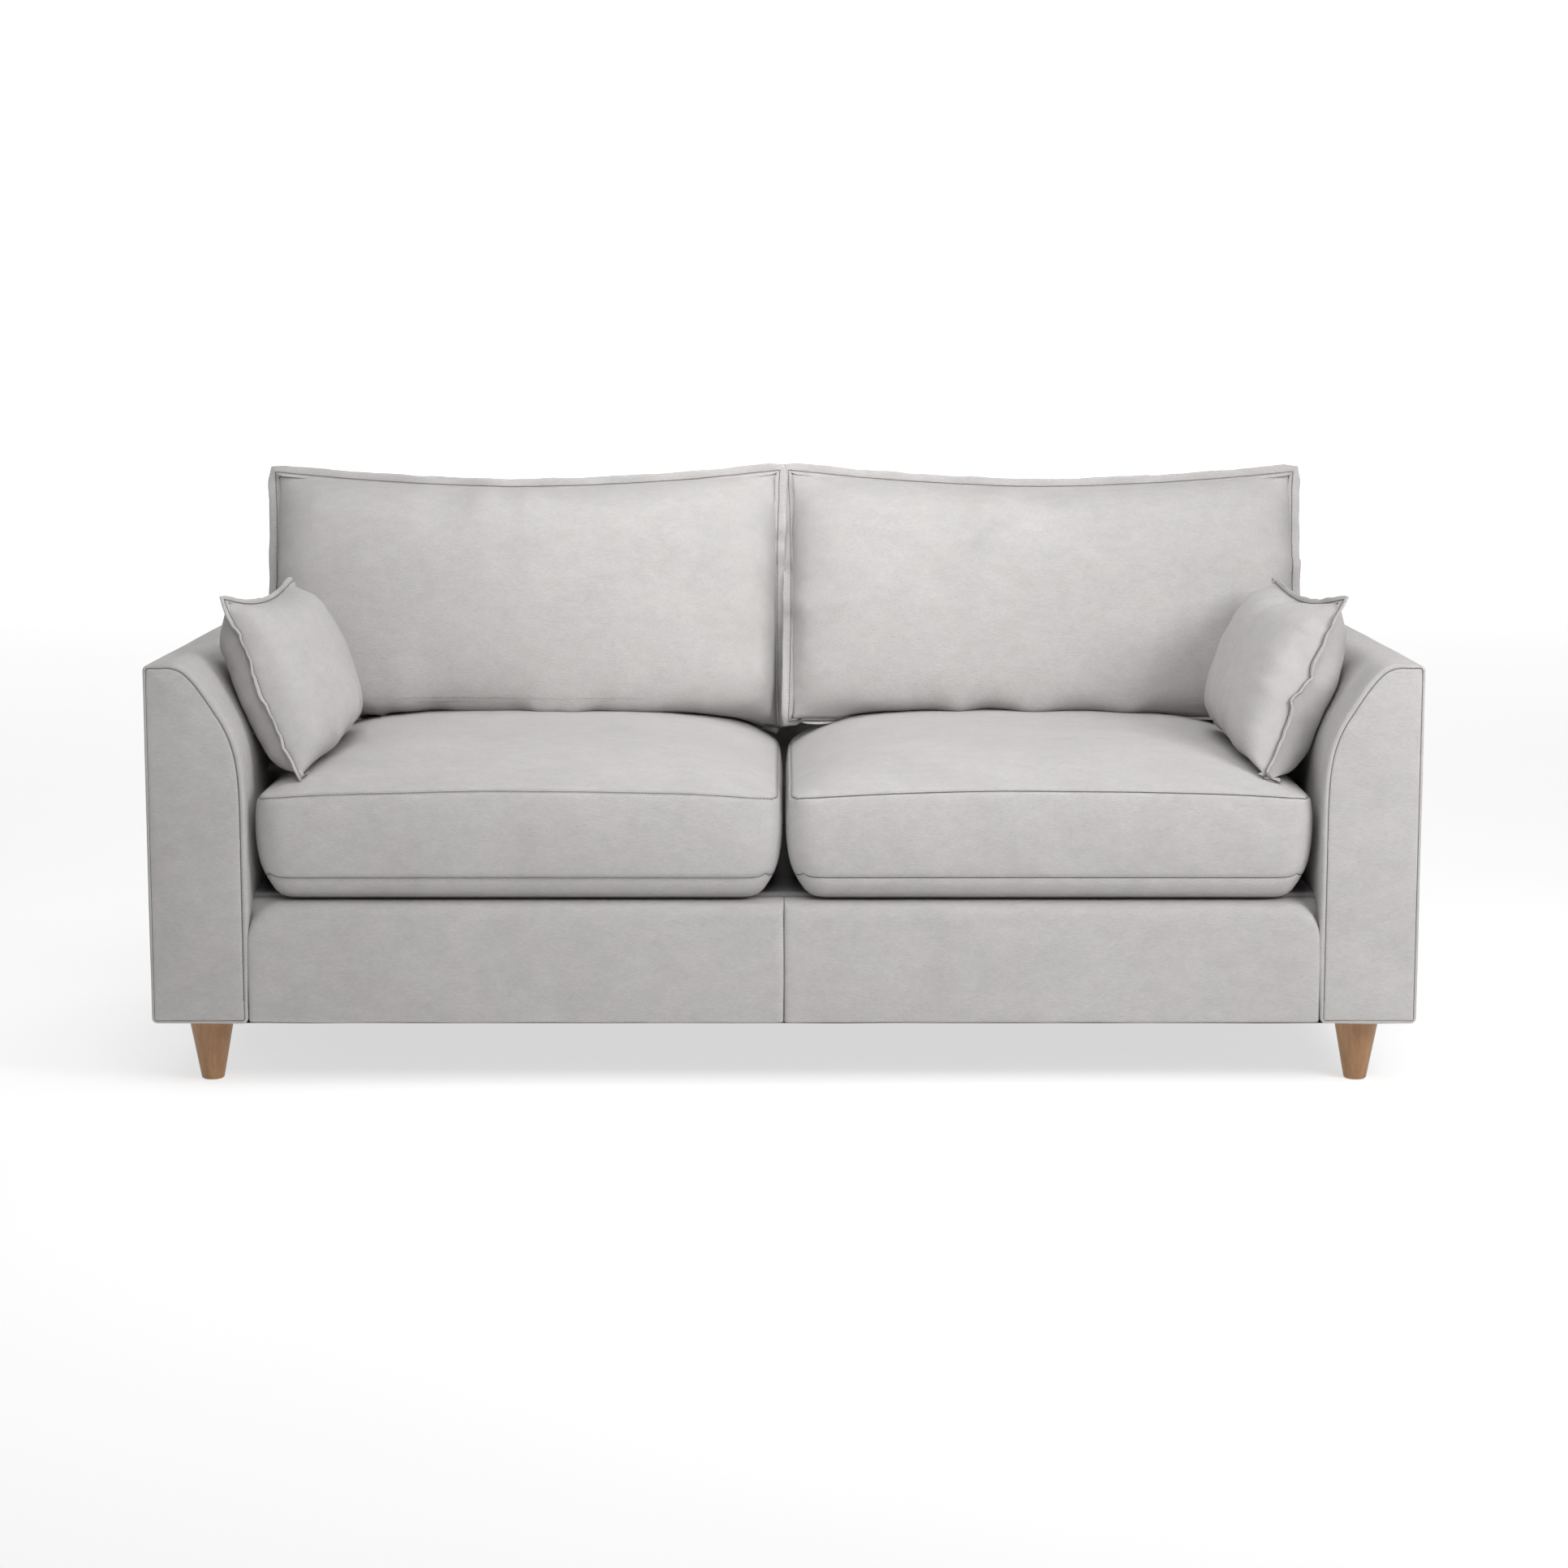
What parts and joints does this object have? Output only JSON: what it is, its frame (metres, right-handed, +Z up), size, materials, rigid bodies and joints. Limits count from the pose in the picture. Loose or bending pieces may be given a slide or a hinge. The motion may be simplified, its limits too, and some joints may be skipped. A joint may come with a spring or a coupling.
{
  "type": "three-seat sofa",
  "caption": "Light grey fabric sofa on short turned wooden legs, with loose boxed seat cushions, flanged back cushions and small scatter cushions.",
  "frame": {"origin": "on the floor under the middle of the sofa", "axes": "+X towards the sitter's left along the width, -Y towards the front of the seat, +Z up"},
  "size_m": [2, 0.95, 0.9529],
  "materials": {
    "upholstery": "matte",
    "leg_wood": "satin",
    "frame_timber": "matte",
    "plywood": "matte",
    "hardboard": "matte",
    "foam": "matte",
    "wadding": "matte",
    "webbing": "matte",
    "deck_fabric": "matte",
    "dust_cloth": "matte",
    "spring_steel": "satin",
    "fastener_steel": "satin",
    "zip_tape": "matte",
    "zip_metal": "satin"
  },
  "bodies": {
    "sofa_frame": {"front_rail": "frame_timber", "rear_rail": "frame_timber", "side_rails": "frame_timber", "centre_brace": "frame_timber", "corner_blocks": "frame_timber", "seat_springs": "spring_steel", "spring_clips": "fastener_steel", "front_foam": "foam", "deck_pad": "foam", "deck_cloth": "deck_fabric", "dust_cover": "dust_cloth", "arm_front_panels": "plywood", "arm_rear_panels": "plywood", "arm_top_rails": "frame_timber", "arm_outer_boards": "hardboard", "back_posts": "plywood", "back_top_rail": "frame_timber", "back_lower_rails": "frame_timber", "back_webbing": "webbing", "back_padding": "foam", "inside_back_cover": "upholstery", "outside_back_cover": "upholstery", "front_left_leg": "leg_wood", "front_right_leg": "leg_wood", "rear_left_leg": "leg_wood", "rear_right_leg": "leg_wood", "leg_bolts": "fastener_steel", "leg_nuts": "fastener_steel", "right_front_border": "upholstery", "right_arm_padding": "foam", "right_arm_cover": "upholstery", "right_arm_facing": "upholstery", "left_front_border": "upholstery", "left_arm_padding": "foam", "left_arm_cover": "upholstery", "left_arm_facing": "upholstery"},
    "left_seat_cushion": {"left_seat_cushion_cover": "upholstery", "left_seat_cushion_core": "foam", "left_seat_cushion_zip": "zip_tape"},
    "left_seat_cushion_slider": {"left_seat_cushion_zip_slider": "zip_metal"},
    "right_seat_cushion": {"right_seat_cushion_cover": "upholstery", "right_seat_cushion_core": "foam", "right_seat_cushion_zip": "zip_tape"},
    "right_seat_cushion_slider": {"right_seat_cushion_zip_slider": "zip_metal"},
    "left_back_cushion": {"left_back_cushion_cover": "upholstery", "left_back_cushion_filling": "wadding", "left_back_cushion_zip": "zip_tape"},
    "left_back_cushion_slider": {"left_back_cushion_zip_slider": "zip_metal"},
    "right_back_cushion": {"right_back_cushion_cover": "upholstery", "right_back_cushion_filling": "wadding", "right_back_cushion_zip": "zip_tape"},
    "right_back_cushion_slider": {"right_back_cushion_zip_slider": "zip_metal"},
    "left_scatter_cushion": {"left_scatter_cushion_cover": "upholstery", "left_scatter_cushion_filling": "wadding", "left_scatter_cushion_zip": "zip_tape"},
    "left_scatter_cushion_slider": {"left_scatter_cushion_zip_slider": "zip_metal"},
    "right_scatter_cushion": {"right_scatter_cushion_cover": "upholstery", "right_scatter_cushion_filling": "wadding", "right_scatter_cushion_zip": "zip_tape"},
    "right_scatter_cushion_slider": {"right_scatter_cushion_zip_slider": "zip_metal"}
  },
  "joints": [
    {"name": "left_seat_cushion_slide_out", "type": "slide", "parent": "sofa_frame", "child": "left_seat_cushion", "axis": [0, -1, 0], "range_m": [0, 0.62]},
    {"name": "left_seat_cushion_zip_run", "type": "slide", "parent": "left_seat_cushion", "child": "left_seat_cushion_slider", "axis": [1, 0, 0], "range_m": [0, 0.56]},
    {"name": "right_seat_cushion_slide_out", "type": "slide", "parent": "sofa_frame", "child": "right_seat_cushion", "axis": [0, -1, 0], "range_m": [0, 0.62]},
    {"name": "right_seat_cushion_zip_run", "type": "slide", "parent": "right_seat_cushion", "child": "right_seat_cushion_slider", "axis": [-1, 0, 0], "range_m": [0, 0.56]},
    {"name": "left_back_cushion_lift_off", "type": "slide", "parent": "sofa_frame", "child": "left_back_cushion", "axis": [0, 0.1478, 0.989], "range_m": [0, 0.45]},
    {"name": "left_back_cushion_zip_run", "type": "slide", "parent": "left_back_cushion", "child": "left_back_cushion_slider", "axis": [1, 0, 0], "range_m": [0, 0.37]},
    {"name": "right_back_cushion_lift_off", "type": "slide", "parent": "sofa_frame", "child": "right_back_cushion", "axis": [0, 0.1478, 0.989], "range_m": [0, 0.45]},
    {"name": "right_back_cushion_zip_run", "type": "slide", "parent": "right_back_cushion", "child": "right_back_cushion_slider", "axis": [-1, 0, 0], "range_m": [0, 0.37]},
    {"name": "left_scatter_cushion_lift_off", "type": "slide", "parent": "sofa_frame", "child": "left_scatter_cushion", "axis": [0, 0, 1], "range_m": [0, 0.35]},
    {"name": "left_scatter_cushion_zip_run", "type": "slide", "parent": "left_scatter_cushion", "child": "left_scatter_cushion_slider", "axis": [0, 1, 0], "range_m": [0, 0.25]},
    {"name": "right_scatter_cushion_lift_off", "type": "slide", "parent": "sofa_frame", "child": "right_scatter_cushion", "axis": [0, 0, 1], "range_m": [0, 0.35]},
    {"name": "right_scatter_cushion_zip_run", "type": "slide", "parent": "right_scatter_cushion", "child": "right_scatter_cushion_slider", "axis": [0, 1, 0], "range_m": [0, 0.25]}
  ]
}
